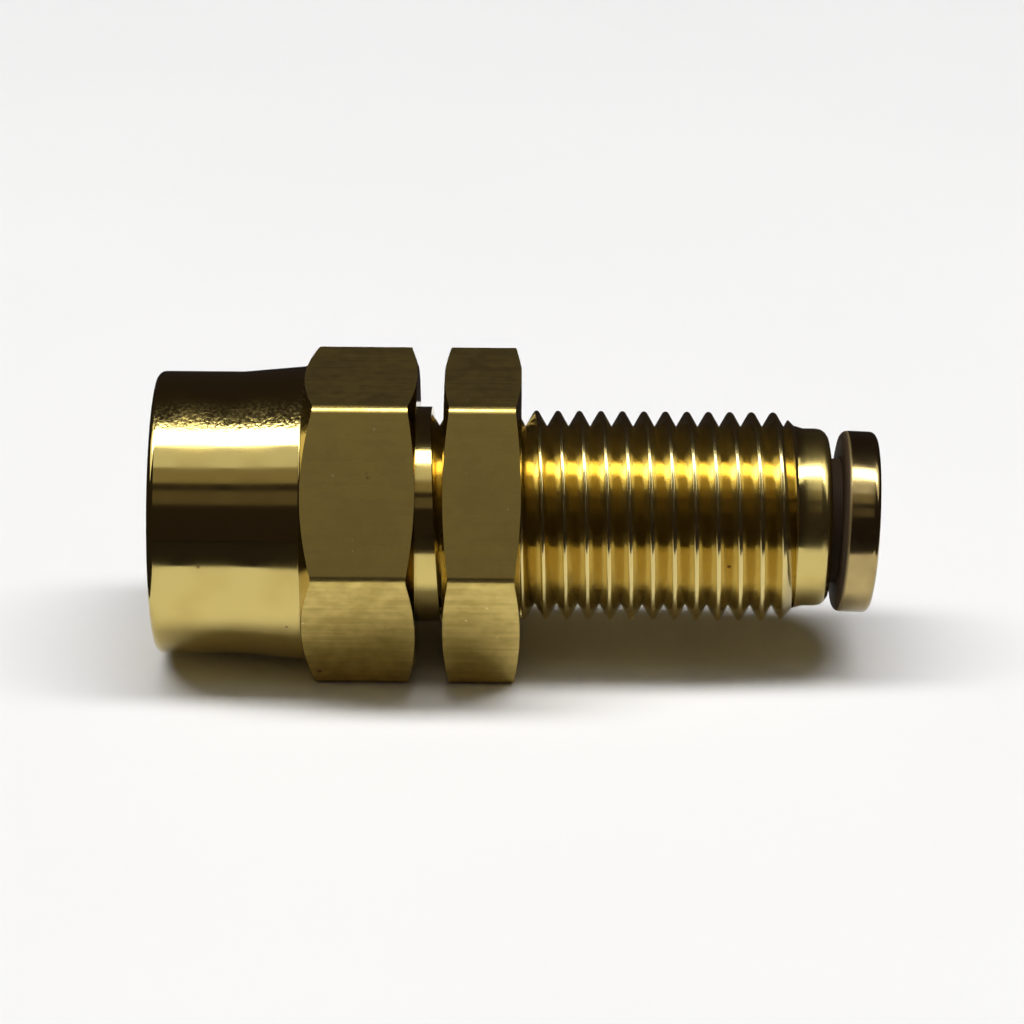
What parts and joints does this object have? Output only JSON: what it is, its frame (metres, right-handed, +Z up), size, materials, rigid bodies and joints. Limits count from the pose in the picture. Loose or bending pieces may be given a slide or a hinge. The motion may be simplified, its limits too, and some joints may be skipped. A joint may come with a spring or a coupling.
{
  "type": "push-in bulkhead tank connector",
  "caption": "Brass bulkhead connector: female pipe port, hex shoulder and threaded stem with a lock nut, and a push-in tube socket with a sliding release collet.",
  "frame": {"origin": "on the turned axis, in the plane of the hex shoulder that seats on the panel", "axes": "+X along the turned axis from the pipe port to the tube socket, +Z up from the hex flats that it lies on"},
  "size_m": [0.0425, 0.0202, 0.0174],
  "materials": {
    "bar_brass": "bright turned and drawn brass",
    "collet_brass": "bright turned brass, slightly redder",
    "seal_rubber": "black nitrile rubber"
  },
  "bodies": {
    "fitting": {"body": "bar_brass", "tube_seal": "seal_rubber", "tube_support": "collet_brass"},
    "nut": {"lock_nut": "bar_brass"},
    "collet": {"release_collet": "collet_brass"}
  },
  "joints": [
    {"name": "nut_run", "type": "slide", "parent": "fitting", "child": "nut", "axis": [1, 0, 0], "range_m": [0, 0.029]},
    {"name": "collet_push", "type": "slide", "parent": "fitting", "child": "collet", "axis": [1, 0, 0], "range_m": [-0.00028, 0.0007]}
  ]
}
